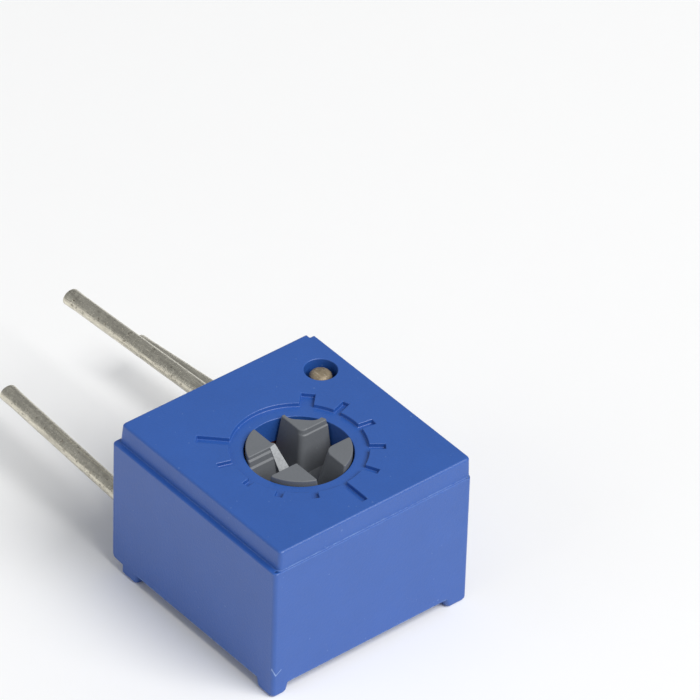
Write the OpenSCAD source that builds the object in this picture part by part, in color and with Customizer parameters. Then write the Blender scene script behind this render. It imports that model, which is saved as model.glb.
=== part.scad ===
// Single-turn cermet trimmer potentiometer, square moulded case, three side leads.
// Millimetres. The adjuster's axis is +Z through the origin, and the feet stand on z = 0.
// -Y is the front face, +Y the face that the leads leave, +Z the face with the scale.

/* [Housing] */
// Width of the case, across the row of leads
body_w = 6.70; // [6.4:0.05:9]
// Depth of the case, from the front face to the lead face
body_d = 6.96; // [6.8:0.05:9]
// Height from the tips of the feet to the scale face
body_h = 4.88; // [4.6:0.02:7]
// Distance from the adjuster's axis to the front face
axis_to_front = 3.18; // [3.1:0.02:4]
// Radius on the case's upright corners
corner_r = 0.12; // [0.05:0.01:0.2]
// Height of the feet
foot_h = 0.34; // [0.2:0.02:0.5]
// Length of a foot along the longer of its two sides
foot_l = 0.68; // [0.4:0.02:1]
// Width of a foot
foot_w = 0.52; // [0.4:0.02:0.8]
// Distance from the lead face to the feet beside it
foot_setback = 0.43; // [0.2:0.01:0.8]
// Chamfer where the lead face meets the back
back_chamfer = 0.14; // [0.05:0.01:0.25]
// Thickness of the scale face's raised plate
plate_t = 0.61; // [0.4:0.01:0.8]
// Step in from the left face up to the plate
plate_step_left = 0.16; // [0.05:0.01:0.3]
// Step in from the front face up to the plate
plate_step_front = 0.05; // [0.02:0.01:0.3]
// Step in from the lead face up to the plate
plate_step_back = 0.10; // [0.02:0.01:0.3]
// How much the plate's stepped sides lean in over its thickness
plate_draft = 0.06; // [0:0.01:0.1]
// Thickness of the left, right and front walls
side_wall = 0.40; // [0.3:0.01:0.45]
// Thickness of the wall that the leads pass through
lead_wall = 0.78; // [0.7:0.01:0.9]
// Thickness of the roof over the rotor
roof_t = 0.90; // [0.7:0.02:1.1]

/* [Adjuster] */
// Diameter of the adjuster's opening in the scale face
bore_d = 2.95; // [2.8:0.01:3.1]
// Radial running clearance of the rotor in its opening
rotor_clear = 0.045; // [0.01:0.005:0.1]
// Width of the cross slot at the top
slot_w = 0.92; // [0.6:0.02:1.0]
// Width of the cross slot at its floor
slot_floor_w = 0.50; // [0.4:0.02:0.9]
// Depth of the cross slot
slot_depth = 1.30; // [0.8:0.02:1.4]
// Direction of the rotor's notched lobe, with the rotor at mid travel
notch_angle = 46.5; // [35:0.5:55]
// Radius of the round notch in that lobe
notch_r = 0.78; // [0.4:0.02:0.9]
// Distance from the axis to the near side of the notch
notch_reach = 1.16; // [1.1:0.01:1.3]
// Depth of the notch
notch_depth = 0.60; // [0.2:0.02:0.8]
// Diameter of the rotor's flange
flange_d = 4.20; // [3.8:0.02:4.3]
// Thickness of the rotor's flange
flange_t = 0.56; // [0.4:0.02:0.7]
// Gap between the flange and the roof, which the seal ring fills
seal_gap = 0.42; // [0.3:0.01:0.5]
// Radial width of the stop lug on the flange
lug_reach = 0.34; // [0.2:0.01:0.4]
// Angle that the stop lug takes up
lug_angle = 38; // [30:1:40]
// Angle that the housing's stop rib takes up
stop_angle = 50; // [40:1:50]
// Clearance between the turning flange or lug and the housing
flange_clear = 0.10; // [0.05:0.01:0.2]
// Cord diameter of the seal ring
seal_cord = 0.40; // [0.3:0.01:0.48]

/* [Scale] */
// Angle that the scale and the rotor's travel cover
travel = 270; // [240:3:270]
// Number of marks on the scale
tick_count = 11; // [7:2:13]
// Diameter of the sunk ring round the opening
ring_d = 3.74; // [3.5:0.02:4]
// Depth of the sunk ring and its marks
ring_depth = 0.13; // [0.05:0.01:0.2]
// Width of a mark
tick_w = 0.20; // [0.1:0.01:0.3]
// Width of the mark at the end of travel
end_tick_w = 0.38; // [0.2:0.01:0.5]
// Radius to the outer end of a short mark
tick_r = 2.30; // [2.1:0.02:2.5]
// Radius to the outer end of a long mark
long_tick_r = 2.75; // [2.6:0.02:2.9]
// Diameter of the small round sight hole
sight_d = 0.92; // [0.7:0.02:1.0]
// Depth of the lead's end below the scale face in the sight hole
sight_depth = 0.16; // [0.1:0.02:0.6]

/* [Leads] */
// Diameter of the round leads
lead_d = 0.51; // [0.4:0.01:0.6]
// Grid pitch of the leads
lead_pitch = 2.54; // [2.5:0.01:2.6]
// Length of each lead beyond the lead face
lead_len = 5.95; // [2:0.05:12]
// Centre-line radius of the leads' bends
bend_r = 0.35; // [0.3:0.01:0.4]
// Distance from the adjuster's axis to the leads' upright ends
riser_y = 2.22; // [2.1:0.02:2.3]
// Depth of the outer leads' axes below the underside of the element
lead_drop = 0.37; // [0.3:0.01:0.45]
// Gap on each side of a lead in its slot, filled by the back seal
slot_side = 0.08; // [0.04:0.01:0.12]
// Sideways lean of the left lead, in degrees
left_lean_x = 1.8; // [-5:0.1:5]
// Upward lean of the left lead, in degrees
left_lean_z = 1.0; // [-5:0.1:5]
// Sideways lean of the middle lead, in degrees
middle_lean_x = -1.8; // [-5:0.1:5]
// Upward lean of the middle lead, in degrees
middle_lean_z = -1.3; // [-5:0.1:5]
// Sideways lean of the right lead, in degrees
right_lean_x = -3.5; // [-5:0.1:5]
// Upward lean of the right lead, in degrees
right_lean_z = -3.2; // [-5:0.1:5]

/* [Element] */
// Thickness of the ceramic element
element_t = 0.64; // [0.5:0.01:0.7]
// Depth of the element's printed face below the scale face
element_depth = 2.28; // [2.2:0.02:2.5]
// Clearance round the element in its pocket
element_clear = 0.04; // [0.02:0.01:0.1]
// Thickness of the printed films
film_t = 0.03; // [0.02:0.01:0.05]
// Inner radius of the resistive track
track_in = 1.35; // [1.2:0.01:1.4]
// Outer radius of the resistive track
track_out = 1.95; // [1.8:0.01:2.1]
// Angle that the resistive track covers
track_angle = 250; // [230:2:255]
// Radius of the collector's round centre
collector_r = 0.60; // [0.4:0.02:0.8]
// Width of the printed conductors that run to the leads
conductor_w = 0.60; // [0.4:0.02:0.7]
// Radius of a solder joint on the element
solder_r = 0.36; // [0.32:0.01:0.37]
// Height of a solder joint
solder_h = 0.22; // [0.15:0.01:0.3]
// Thickness of the wiper's spring strip
wiper_t = 0.08; // [0.05:0.01:0.1]
// Width of the wiper's arm
wiper_w = 0.60; // [0.4:0.02:0.8]
// Clearance left under the wiper's contacts
contact_clear = 0.02; // [0.01:0.005:0.03]
// Depth of the back seal's surface inside the rim
seal_sink = 0.06; // [0.02:0.01:0.12]

/* [Hidden] */
$fn = 72;
eps = 0.02;

case_blue = [0.24, 0.39, 0.71];
seal_blue = [0.16, 0.35, 0.70];
rotor_grey = [0.50, 0.50, 0.50];
tin = [0.56, 0.54, 0.48];
solder_grey = [0.70, 0.70, 0.68];
ceramic_white = [0.92, 0.91, 0.88];
cermet_black = [0.12, 0.12, 0.13];
silver_film = [0.75, 0.73, 0.70];
spring_alloy = [0.80, 0.72, 0.50];
rubber_red = [0.45, 0.12, 0.08];

// Outline of the case.
left_x = -body_w / 2;
right_x = body_w / 2;
front_y = -axis_to_front;
back_y = front_y + body_d;
ledge_z = body_h - plate_t;

// Heights of the stack, counted down from the scale face.
roof_z = body_h - roof_t;
flange_top = roof_z - seal_gap;
flange_bottom = flange_top - flange_t;
element_z = body_h - element_depth;
element_under = element_z - element_t;
lead_z = element_under - lead_drop;
middle_z = lead_z + lead_pitch;
film_top = element_z + film_t;

// The pocket that the element drops into from the back.
pocket_left = left_x + side_wall;
pocket_right = right_x - side_wall;
pocket_front = front_y + side_wall;
pocket_back = back_y - lead_wall;

// Turning parts.
bore_r = bore_d / 2;
head_r = bore_r - rotor_clear;
lug_r = flange_d / 2 + lug_reach;
cavity_r = lug_r + flange_clear;
gap_middle = 90;
scale_start = gap_middle + (360 - travel) / 2;
wiper_angle = scale_start + travel / 2;
contact_r = (track_in + track_out) / 2;
contact_pin_r = 0.14;
post_r = 0.14;
post_y = 0.62;
post_head = 0.06;
wiper_top = flange_bottom;
wiper_bottom = wiper_top - wiper_t;

// Leads.
lead_r = lead_d / 2;
free_r = lead_r - 0.005;
stub = 0.14;
joint_gap = 0.06;
socket_r = solder_r + joint_gap;
socket_h = solder_h + stub + eps;
tip_chamfer = 0.06;
root = 0.03;
middle_up_y = pocket_back + 0.30;
lead_end_z = element_z + film_t + stub;
pad_bearing = atan2(riser_y, lead_pitch);
pad_reach = norm([riser_y, lead_pitch]);

// The end pads close the track's gap down to this half angle.
pad_half_gap = 30;
track_half_gap = (360 - track_angle) / 2;

// Box between two corners.
module span(low, high) {
    translate(low) cube(high - low);
}

// Box between two corners with rounded upright edges.
module rounded_span(low, high, r) {
    span([low.x + r, low.y, low.z], [high.x - r, high.y, high.z]);
    span([low.x, low.y + r, low.z], [high.x, high.y - r, high.z]);
    for (x = [low.x + r, high.x - r], y = [low.y + r, high.y - r])
        translate([x, y, low.z]) cylinder(r = r, h = high.z - low.z);
}

// Flat sector between two radii, from angle a to angle b, under 180 degrees.
module sector(r_in, r_out, a, b, h) {
    reach = 2 * r_out;
    middle = (a + b) / 2;
    intersection() {
        difference() {
            cylinder(r = r_out, h = h);
            translate([0, 0, -eps]) cylinder(r = r_in, h = h + 2 * eps);
        }
        translate([0, 0, -eps]) linear_extrude(height = h + 2 * eps)
            polygon([[0, 0],
                     reach * [cos(a), sin(a)],
                     reach * [cos(middle), sin(middle)] / cos((b - a) / 2),
                     reach * [cos(b), sin(b)]]);
    }
}

// Ring between two radii that leaves out the sector of the given half angle round gap_middle.
module open_ring(r_in, r_out, half_gap, h) {
    reach = 2 * r_out;
    difference() {
        cylinder(r = r_out, h = h);
        translate([0, 0, -eps]) cylinder(r = r_in, h = h + 2 * eps);
        translate([0, 0, -eps]) linear_extrude(height = h + 2 * eps)
            polygon([[0, 0],
                     reach * [cos(gap_middle - half_gap), sin(gap_middle - half_gap)],
                     reach * [0, 1] / cos(half_gap),
                     reach * [cos(gap_middle + half_gap), sin(gap_middle + half_gap)]]);
    }
}

// ---- Housing ----

// The plate under the scale face, with its leaning sides.
module face_plate() {
    intersection() {
        translate([0, back_y, 0]) rotate([90, 0, 0]) linear_extrude(height = body_d)
            polygon([[left_x + plate_step_left, ledge_z - eps],
                     [right_x, ledge_z - eps],
                     [right_x, body_h],
                     [left_x + plate_step_left + plate_draft, body_h]]);
        translate([left_x, 0, 0]) rotate([90, 0, 90]) linear_extrude(height = body_w)
            polygon([[front_y + plate_step_front, ledge_z - eps],
                     [back_y - plate_step_back, ledge_z - eps],
                     [back_y - plate_step_back - plate_draft / 2, body_h],
                     [front_y + plate_step_front + plate_draft / 2, body_h]]);
        rounded_span([left_x + plate_step_left / 2, front_y, ledge_z - 2 * eps],
                     [right_x, back_y, body_h + eps], corner_r);
    }
}

module feet() {
    top = foot_h + eps;
    rounded_span([left_x, front_y, 0], [left_x + foot_w, front_y + foot_l, top], corner_r);
    rounded_span([right_x - foot_l, front_y, 0], [right_x, front_y + foot_w, top], corner_r);
    for (x = [left_x, right_x - foot_w])
        rounded_span([x, back_y - foot_setback - foot_l, 0],
                     [x + foot_w, back_y - foot_setback, top], corner_r);
}

// Slot in the lead wall, open to the back, with a round end over the lead.
module lead_slot(x, top_z) {
    half = lead_r + slot_side;
    span([x - half, pocket_back - eps, foot_h - eps], [x + half, back_y + eps, top_z]);
    translate([x, back_y + eps, top_z]) rotate([90, 0, 0]) cylinder(r = half, h = lead_wall + 2 * eps);
}

// Sunk panels and the deep groove in the lead face.
module lead_face_relief() {
    panel_sink = 0.20;
    groove_sink = 0.35;
    inner_edge = lead_pitch - 0.58;
    outer_edge = lead_pitch + 0.32;
    rib_edge = lead_pitch - 0.15;
    groove_x = lead_pitch - 1.04;
    groove_w = 0.17;
    span([-outer_edge, back_y - panel_sink, lead_z], [-inner_edge, back_y + eps, ledge_z]);
    span([rib_edge, back_y - panel_sink, lead_z], [outer_edge, back_y + eps, ledge_z]);
    span([groove_x, back_y - groove_sink, foot_h - eps], [groove_x + groove_w, back_y + eps, ledge_z]);
}

// Chamfer along the back edge of the lead face.
module lead_edge_chamfer() {
    side = back_chamfer * sqrt(2);
    translate([0, back_y, foot_h]) rotate([45, 0, 0])
        cube([body_w + 1, side, side], center = true);
}

// Sunk ring round the opening, with one mark for each step of the scale.
module scale_recess() {
    floor_z = body_h - ring_depth;
    depth = ring_depth + eps;
    middle = (tick_count - 1) / 2;
    translate([0, 0, floor_z]) cylinder(r = ring_d / 2, h = depth);
    for (i = [0 : tick_count - 1]) {
        is_long = i == 0 || i == middle;
        reach = is_long ? long_tick_r : tick_r;
        width = i == tick_count - 1 ? end_tick_w : tick_w;
        rotate([0, 0, scale_start + i * travel / (tick_count - 1)])
            translate([bore_r, -width / 2, floor_z]) cube([reach - bore_r, width, depth]);
    }
}

// Room over each solder joint, and over the conductors that run to them.
module joint_room() {
    room = 0.05;
    relief = film_t + room;
    for (x = [-lead_pitch, 0, lead_pitch])
        translate([x, riser_y, element_z - eps]) cylinder(r = socket_r, h = socket_h + eps);
    for (a = [pad_bearing, 180 - pad_bearing])
        rotate([0, 0, a]) translate([0, -conductor_w / 2 - room, element_z - eps])
            cube([pad_reach, conductor_w + 2 * room, relief + eps]);
    translate([lead_pitch, riser_y, element_z - eps])
        cylinder(d = sight_d, h = element_depth + 2 * eps);
}

// Square notch in the plate's corner between the right side and the lead face.
module corner_notch() {
    notch = 0.15;
    span([right_x - notch, back_y - plate_step_back - notch, foot_h],
         [right_x + eps, back_y + eps, body_h + eps]);
}

module housing() {
    color(case_blue) difference() {
        union() {
            rounded_span([left_x, front_y, foot_h], [right_x, back_y, ledge_z], corner_r);
            difference() {
                face_plate();
                corner_notch();
            }
            feet();
        }
        difference() {
            union() {
                span([pocket_left, pocket_front, foot_h - eps], [pocket_right, pocket_back, element_z]);
                translate([0, 0, element_z - eps]) cylinder(r = cavity_r, h = roof_z - element_z + eps);
            }
            translate([0, 0, flange_bottom - contact_clear])
                sector(flange_d / 2 + flange_clear, cavity_r + eps, gap_middle - stop_angle / 2,
                       gap_middle + stop_angle / 2, body_h);
        }
        translate([0, 0, roof_z - eps]) cylinder(r = bore_r, h = roof_t + 2 * eps);
        scale_recess();
        joint_room();
        for (x = [-lead_pitch, lead_pitch]) lead_slot(x, lead_z);
        lead_slot(0, middle_z);
        lead_face_relief();
        lead_edge_chamfer();
    }
}

// ---- Rotor, seal ring and wiper ----

// Straight slot with leaning sides, along X.
module driver_slot() {
    translate([-bore_r, 0, 0]) rotate([90, 0, 90]) linear_extrude(height = bore_d)
        polygon([[-slot_floor_w / 2, body_h - slot_depth],
                 [slot_floor_w / 2, body_h - slot_depth],
                 [slot_w / 2, body_h + eps],
                 [-slot_w / 2, body_h + eps]]);
}

// Posts under the flange that hold the wiper, one on each side of its arm.
module posts(h) {
    rotate([0, 0, wiper_angle]) for (s = [-1, 1])
        translate([0, s * post_y, wiper_top - h]) cylinder(r = post_r, h = h + eps);
}

module rotor() {
    overlap = 0.2;
    color(rotor_grey) difference() {
        union() {
            translate([0, 0, flange_bottom]) cylinder(d = flange_d, h = flange_t);
            translate([0, 0, flange_bottom]) cylinder(r = head_r, h = body_h - flange_bottom);
            translate([0, 0, flange_bottom])
                sector(flange_d / 2 - overlap, lug_r, wiper_angle - lug_angle / 2,
                       wiper_angle + lug_angle / 2, flange_t);
            posts(wiper_t + post_head);
        }
        driver_slot();
        rotate([0, 0, 90]) driver_slot();
        rotate([0, 0, notch_angle]) translate([notch_reach + notch_r, 0, body_h - notch_depth])
            cylinder(r = notch_r, h = notch_depth + eps);
    }
}

module seal_ring() {
    squeeze = contact_clear;
    color(rubber_red) translate([0, 0, roof_z - seal_cord / 2])
        rotate_extrude() translate([bore_r + squeeze + seal_cord / 2, 0]) circle(d = seal_cord, $fn = 48);
}

// Spring strip under the flange: two contacts, one on the collector and one on the track.
module wiper() {
    margin = 0.12;
    plate_half = post_y + post_r + margin;
    arm_end = contact_r + contact_pin_r + margin / 2;
    contact_top = wiper_bottom + eps;
    contact_low = film_top + contact_clear;
    color(spring_alloy) difference() {
        rotate([0, 0, wiper_angle]) {
            span([-wiper_w / 2, -plate_half, wiper_bottom], [wiper_w / 2, plate_half, wiper_top]);
            span([0, -wiper_w / 2, wiper_bottom], [arm_end, wiper_w / 2, wiper_top]);
            for (x = [0, contact_r])
                translate([x, 0, contact_low]) cylinder(r = contact_pin_r, h = contact_top - contact_low);
        }
        translate([0, 0, eps]) posts(2 * wiper_t);
    }
}

// ---- Element: ceramic, printed films, solder ----

module element() {
    c = element_clear;
    color(ceramic_white) difference() {
        span([pocket_left + c, pocket_front + c, element_under],
             [pocket_right - c, pocket_back - c, element_z]);
        for (x = [-lead_pitch, 0, lead_pitch])
            translate([x, riser_y, element_under - eps]) cylinder(r = lead_r, h = element_t + 2 * eps);
    }
}

module resistor_track() {
    color(cermet_black) translate([0, 0, element_z])
        open_ring(track_in, track_out, track_half_gap, film_t);
}

module collector_track() {
    color(silver_film) translate([0, 0, element_z]) difference() {
        union() {
            cylinder(r = collector_r, h = film_t);
            span([-conductor_w / 2, 0, 0], [conductor_w / 2, riser_y, film_t]);
            translate([0, riser_y, 0]) cylinder(r = solder_r, h = film_t);
        }
        translate([0, riser_y, -eps]) cylinder(r = lead_r, h = film_t + 2 * eps);
    }
}

// Conductor from one end of the track to its lead. side is 1 on the right and -1 on the left.
module end_pad(side) {
    overlap = 0.1;
    start = side > 0 ? gap_middle - track_half_gap : gap_middle + pad_half_gap;
    end = side > 0 ? gap_middle - pad_half_gap : gap_middle + track_half_gap;
    bearing = side > 0 ? pad_bearing : 180 - pad_bearing;
    color(silver_film) translate([0, 0, element_z]) difference() {
        union() {
            sector(track_in, track_out, start, end, film_t);
            difference() {
                rotate([0, 0, bearing]) span([track_out - overlap, -conductor_w / 2, 0],
                                             [pad_reach, conductor_w / 2, film_t]);
                translate([0, 0, -eps]) open_ring(track_in, track_out, track_half_gap, 1);
            }
            translate([side * lead_pitch, riser_y, 0]) cylinder(r = solder_r, h = film_t);
        }
        translate([side * lead_pitch, riser_y, -eps]) cylinder(r = lead_r, h = film_t + 2 * eps);
    }
}

module solder(x, tint) {
    collar = 0.03;
    color(tint) translate([x, riser_y, film_top]) difference() {
        cylinder(r1 = solder_r, r2 = lead_r + collar, h = solder_h);
        translate([0, 0, -eps]) cylinder(r = lead_r, h = solder_h + 2 * eps);
    }
}

// ---- Leads ----

// Quarter bend of the lead, from an upright run at y = 0 to a level run along +Y at z = 0.
module quarter_bend() {
    translate([0, bend_r, bend_r]) rotate([0, 90, 0]) rotate([0, 0, -90])
        rotate_extrude(angle = 90) translate([bend_r, 0]) circle(r = lead_r, $fn = 48);
}

module upright(x, y, low_z, high_z) {
    translate([x, y, low_z]) cylinder(r = lead_r, h = high_z - low_z);
}

module level(x, z, low_y, high_y) {
    translate([x, low_y, z]) rotate([-90, 0, 0]) cylinder(r = lead_r, h = high_y - low_y);
}

// The free length outside the case, leaning a little from true where it leaves.
module free_end(x, z, lean_x, lean_z) {
    straight = lead_len - tip_chamfer;
    translate([x, back_y, z]) rotate([-90 + lean_z, 0, -lean_x]) {
        translate([0, 0, -root]) cylinder(r = free_r, h = root + straight);
        translate([0, 0, straight]) cylinder(r1 = free_r, r2 = free_r - tip_chamfer, h = tip_chamfer);
    }
}

// Outer lead: an upright end through the element, then out through the lead wall.
module outer_lead(side, top_z, lean_x, lean_z) {
    x = side * lead_pitch;
    upright(x, riser_y, lead_z + bend_r, top_z);
    translate([x, riser_y, lead_z]) quarter_bend();
    level(x, lead_z, riser_y + bend_r, back_y);
    free_end(x, lead_z, lean_x, lean_z);
}

module lead_left() {
    color(tin) outer_lead(-1, lead_end_z, left_lean_x, left_lean_z);
}

// The right lead's upright end runs on up to the sight hole.
module lead_right() {
    color(tin) outer_lead(1, body_h - sight_depth, right_lean_x, right_lean_z);
}

// Middle lead: down through the element, across to its slot, up the slot and out.
module lead_middle() {
    color(tin) {
        upright(0, riser_y, lead_z + bend_r, lead_end_z);
        translate([0, riser_y, lead_z]) quarter_bend();
        level(0, lead_z, riser_y + bend_r, middle_up_y - bend_r);
        translate([0, middle_up_y, lead_z]) mirror([0, 1, 0]) quarter_bend();
        upright(0, middle_up_y, lead_z + bend_r, middle_z - bend_r);
        translate([0, middle_up_y, middle_z]) mirror([0, 0, 1]) quarter_bend();
        level(0, middle_z, middle_up_y + bend_r, back_y);
        free_end(0, middle_z, middle_lean_x, middle_lean_z);
    }
}

// ---- Back seal ----

// Cast resin that fills the pocket behind the element and the slots round the leads.
module back_seal() {
    face_sink = 0.04;
    low = foot_h + seal_sink;
    half = lead_r + slot_side;
    color(seal_blue) difference() {
        union() {
            span([pocket_left, pocket_front, low], [pocket_right, pocket_back, element_under]);
            for (p = [[-lead_pitch, lead_z], [0, middle_z], [lead_pitch, lead_z]]) {
                span([p.x - half, pocket_back - eps, low + back_chamfer],
                     [p.x + half, back_y - face_sink, p.y]);
                translate([p.x, back_y - face_sink, p.y]) rotate([90, 0, 0])
                    cylinder(r = half, h = lead_wall - face_sink);
            }
        }
        lead_left();
        lead_middle();
        lead_right();
        lead_face_relief_in_seal();
    }
}

// The sunk panels run on over the resin in the outer slots.
module lead_face_relief_in_seal() {
    panel_sink = 0.20;
    for (s = [-1, 1])
        span([s * lead_pitch - lead_r - slot_side - eps, back_y - panel_sink, lead_z],
             [s * lead_pitch + lead_r + slot_side + eps, back_y + eps, lead_z + 1]);
}

housing();
rotor();
seal_ring();
wiper();
element();
resistor_track();
collector_track();
end_pad(-1);  // end_pad_left
end_pad(1);  // end_pad_right
lead_left();
lead_middle();
lead_right();
solder(-lead_pitch, solder_grey);  // solder_left
solder(0, solder_grey);  // solder_middle
solder(lead_pitch, solder_grey);  // solder_right
back_seal();
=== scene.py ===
import math
from types import SimpleNamespace

import bmesh
import bpy
from bpy.props import FloatProperty, FloatVectorProperty, IntProperty, PointerProperty
from mathutils import Matrix, Vector, noise


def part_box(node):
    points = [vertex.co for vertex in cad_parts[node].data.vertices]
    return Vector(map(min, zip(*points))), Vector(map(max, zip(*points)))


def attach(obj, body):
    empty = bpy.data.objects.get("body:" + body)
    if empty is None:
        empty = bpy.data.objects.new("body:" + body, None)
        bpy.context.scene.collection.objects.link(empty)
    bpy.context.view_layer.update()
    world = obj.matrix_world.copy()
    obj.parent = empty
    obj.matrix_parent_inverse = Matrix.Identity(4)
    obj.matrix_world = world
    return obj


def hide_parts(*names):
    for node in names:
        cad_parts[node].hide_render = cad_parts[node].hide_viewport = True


bl_info = {
    "name": "Trimmer Potentiometer",
    "version": (1, 0, 0),
    "blender": (4, 5, 0),
    "location": "View3D > Sidebar > Trimmer",
    "description": "Builds a square trimmer potentiometer with three side leads",
    "category": "Object",
}

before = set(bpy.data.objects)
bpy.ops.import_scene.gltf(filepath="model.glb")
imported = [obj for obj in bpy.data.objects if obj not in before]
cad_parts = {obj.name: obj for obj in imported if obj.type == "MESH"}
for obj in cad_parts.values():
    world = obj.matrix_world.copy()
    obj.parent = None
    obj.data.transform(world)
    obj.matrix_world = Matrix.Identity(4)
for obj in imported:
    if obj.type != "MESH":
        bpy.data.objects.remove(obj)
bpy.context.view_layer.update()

MM = 0.001


# ---- Properties ----

def length(name, description, millimetres):
    """A length property, whose default is given in millimetres."""
    return FloatProperty(name=name, description=description, default=millimetres * MM,
                         min=0.0, precision=6, subtype="DISTANCE", unit="LENGTH")


def colour(name, description, value):
    return FloatVectorProperty(name=name, description=description, default=value,
                               size=3, min=0.0, max=1.0, subtype="COLOR")


def angle(name, description, degrees):
    return FloatProperty(name=name, description=description, default=math.radians(degrees),
                         subtype="ANGLE", unit="ROTATION")


def in_mm(group):
    """A property group's values as plain numbers, in millimetres and degrees."""
    values = {}
    for prop in group.bl_rna.properties:
        if prop.identifier in {"rna_type", "name"}:
            continue
        value = getattr(group, prop.identifier)
        if prop.type == "FLOAT" and prop.subtype == "DISTANCE":
            value = value / MM
        elif prop.type == "FLOAT" and prop.subtype == "ANGLE":
            value = math.degrees(value)
        values[prop.identifier] = value
    return SimpleNamespace(**values)


class CaseSettings(bpy.types.PropertyGroup):
    plate_height: length("Plate height", "Thickness of the raised plate under the scale face", 0.61)
    left_step: length("Left step", "Step in from the left face up to the plate", 0.16)
    front_step: length("Front step", "Step in from the front face up to the plate", 0.05)
    lead_step: length("Lead side step", "Step in from the lead face up to the plate", 0.10)
    draft: length("Draft", "How far the plate's stepped sides lean in over its height", 0.06)
    corner: length("Corner radius", "Radius on the upright corners", 0.12)
    notch: length("Corner notch", "Side of the square notch in one corner of the plate", 0.15)
    rounding: length("Rounding", "Radius on the plate's upper edges", 0.07)
    edge_break: length("Edge break", "Width of the small rounding on every other edge", 0.028)
    foot_height: length("Foot height", "Height of the four feet", 0.34)
    foot_length: length("Foot length", "Longer side of a foot", 0.68)
    foot_width: length("Foot width", "Shorter side of a foot", 0.52)
    foot_setback: length("Foot setback", "Distance from the lead face to the feet beside it", 0.43)
    side_wall: length("Side wall", "Thickness of the left, right and front walls", 0.40)
    lead_wall: length("Lead wall", "Thickness of the wall that the leads pass through", 0.78)
    roof: length("Roof", "Thickness of the roof over the rotor", 0.90)
    slot_side: length("Slot side", "Gap between a lead and each side of its slot", 0.085)
    bore: length("Opening radius", "Radius of the adjuster's opening", 1.475)
    cavity: length("Cavity radius", "Radius of the room that the rotor's flange turns in", 2.54)
    ring: length("Ring radius", "Outer radius of the sunk ring round the opening", 1.87)
    ring_depth: length("Ring depth", "Depth of the sunk ring and its marks", 0.13)
    tick_width: length("Mark width", "Width of a mark on the scale", 0.20)
    first_tick_width: length("First mark width", "Width of the mark at the start of travel", 0.28)
    end_tick_width: length("End mark width", "Width of the mark at the end of travel", 0.38)
    tick_reach: length("Mark reach", "Radius to the outer end of a short mark", 2.30)
    near_tick_reach: length("Near mark reach", "Radius to the outer end of the three shortest marks", 2.13)
    long_tick_reach: length("Long mark reach", "Radius to the outer end of a long mark", 2.75)
    sight_hole: length("Sight hole radius", "Radius of the small round hole", 0.46)
    tick_count: IntProperty(name="Marks", description="Number of marks on the scale", default=11, min=2)
    travel: angle("Travel", "Angle that the scale covers", 270)
    colour: colour("Case colour", "Colour of the moulded case", (0.0225, 0.0985, 0.395))


class AdjusterSettings(bpy.types.PropertyGroup):
    head: length("Head radius", "Radius of the rotor's head", 1.43)
    flange: length("Flange radius", "Radius of the rotor's flange", 2.10)
    flange_thickness: length("Flange thickness", "Thickness of the rotor's flange", 0.56)
    lug_reach: length("Lug reach", "How far the stop lug stands out from the flange", 0.34)
    slot_half: length("Slot half width", "Half the cross slot's width at the top", 0.46)
    slot_depth: length("Slot depth", "Depth of the cross slot", 1.30)
    slot_narrowing: length("Slot narrowing", "How far each flank leans in over the slot's depth", 0.21)
    top_round: length("Top rounding", "Radius on the upper edges of the lobes", 0.030)
    notch_half: length("Notch half width", "Half the width of the notch in one lobe", 0.50)
    notch_reach: length("Notch reach", "Distance from the axis to the near side of the notch", 1.16)
    notch_depth: length("Notch depth", "Depth of the notch", 0.60)
    notch_angle: angle("Notch direction", "Direction of the notch from the axis", 46.5)
    lug_angle: angle("Lug angle", "Angle that the stop lug takes up", 38)
    # The facet's light colour is partly wear and partly a painted highlight.
    worn_colour: colour("Worn colour", "Colour of the worn facet on one lobe", (0.50, 0.52, 0.54))
    colour: colour("Rotor colour", "Colour of the moulded rotor", (0.150, 0.160, 0.176))


class LeadSettings(bpy.types.PropertyGroup):
    radius: length("Radius", "Radius of the wire", 0.25)
    pitch: length("Pitch", "Grid pitch of the leads", 2.54)
    free_length: length("Free length", "Length of each lead beyond the case", 5.95)
    bend: length("Bend radius", "Centre-line radius of the inner bends", 0.35)
    knee: length("Knee radius", "Centre-line radius of the slight bend at the case", 0.60)
    wall_offset: length("Riser place", "Distance of the middle lead's riser into the lead wall", 0.30)
    colour: colour("Wire colour", "Colour of the tinned wire", (0.70, 0.66, 0.55))
    cut_colour: colour("Cut colour", "Colour of the wire's cut ends", (0.33, 0.25, 0.17))
    tarnish: colour("Tarnish", "Colour of the soldered tip in the sight hole", (0.30, 0.24, 0.16))


class SealSettings(bpy.types.PropertyGroup):
    sink: length("Sink", "Depth of the back seal's surface inside the rim", 0.06)
    face_sink: length("Face sink", "Depth of the seal inside the lead face", 0.04)
    slot_side: length("Slot side", "Width of the resin on each side of a lead", 0.08)
    ripple: length("Ripple", "Height of the resin's slow ripples", 0.012)
    colour: colour("Seal colour", "Colour of the cast resin", (0.014, 0.085, 0.400))


class StageSettings(bpy.types.PropertyGroup):
    floor_size: length("Floor size", "Width of the square floor", 900)
    floor_colour: colour("Floor colour", "Colour of the floor", (0.96, 0.96, 0.96))
    azimuth: angle("Azimuth", "Direction of the camera round the part", -40.355)
    elevation: angle("Elevation", "Height of the camera above the horizon", 38.495)
    roll: angle("Roll", "Turn of the camera about its own axis", 1.834)
    distance: length("Distance", "Distance from the camera to its target", 199.85)
    lens: FloatProperty(name="Focal length", description="Focal length of the camera, in millimetres",
                        default=373.48, min=1.0, subtype="DISTANCE_CAMERA")


# ---- Mesh tools, all in millimetres ----

def box_mm(node):
    """Lowest and highest corner of a CAD node, in millimetres."""
    low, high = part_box(node)
    return Vector(low) / MM, Vector(high) / MM


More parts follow.
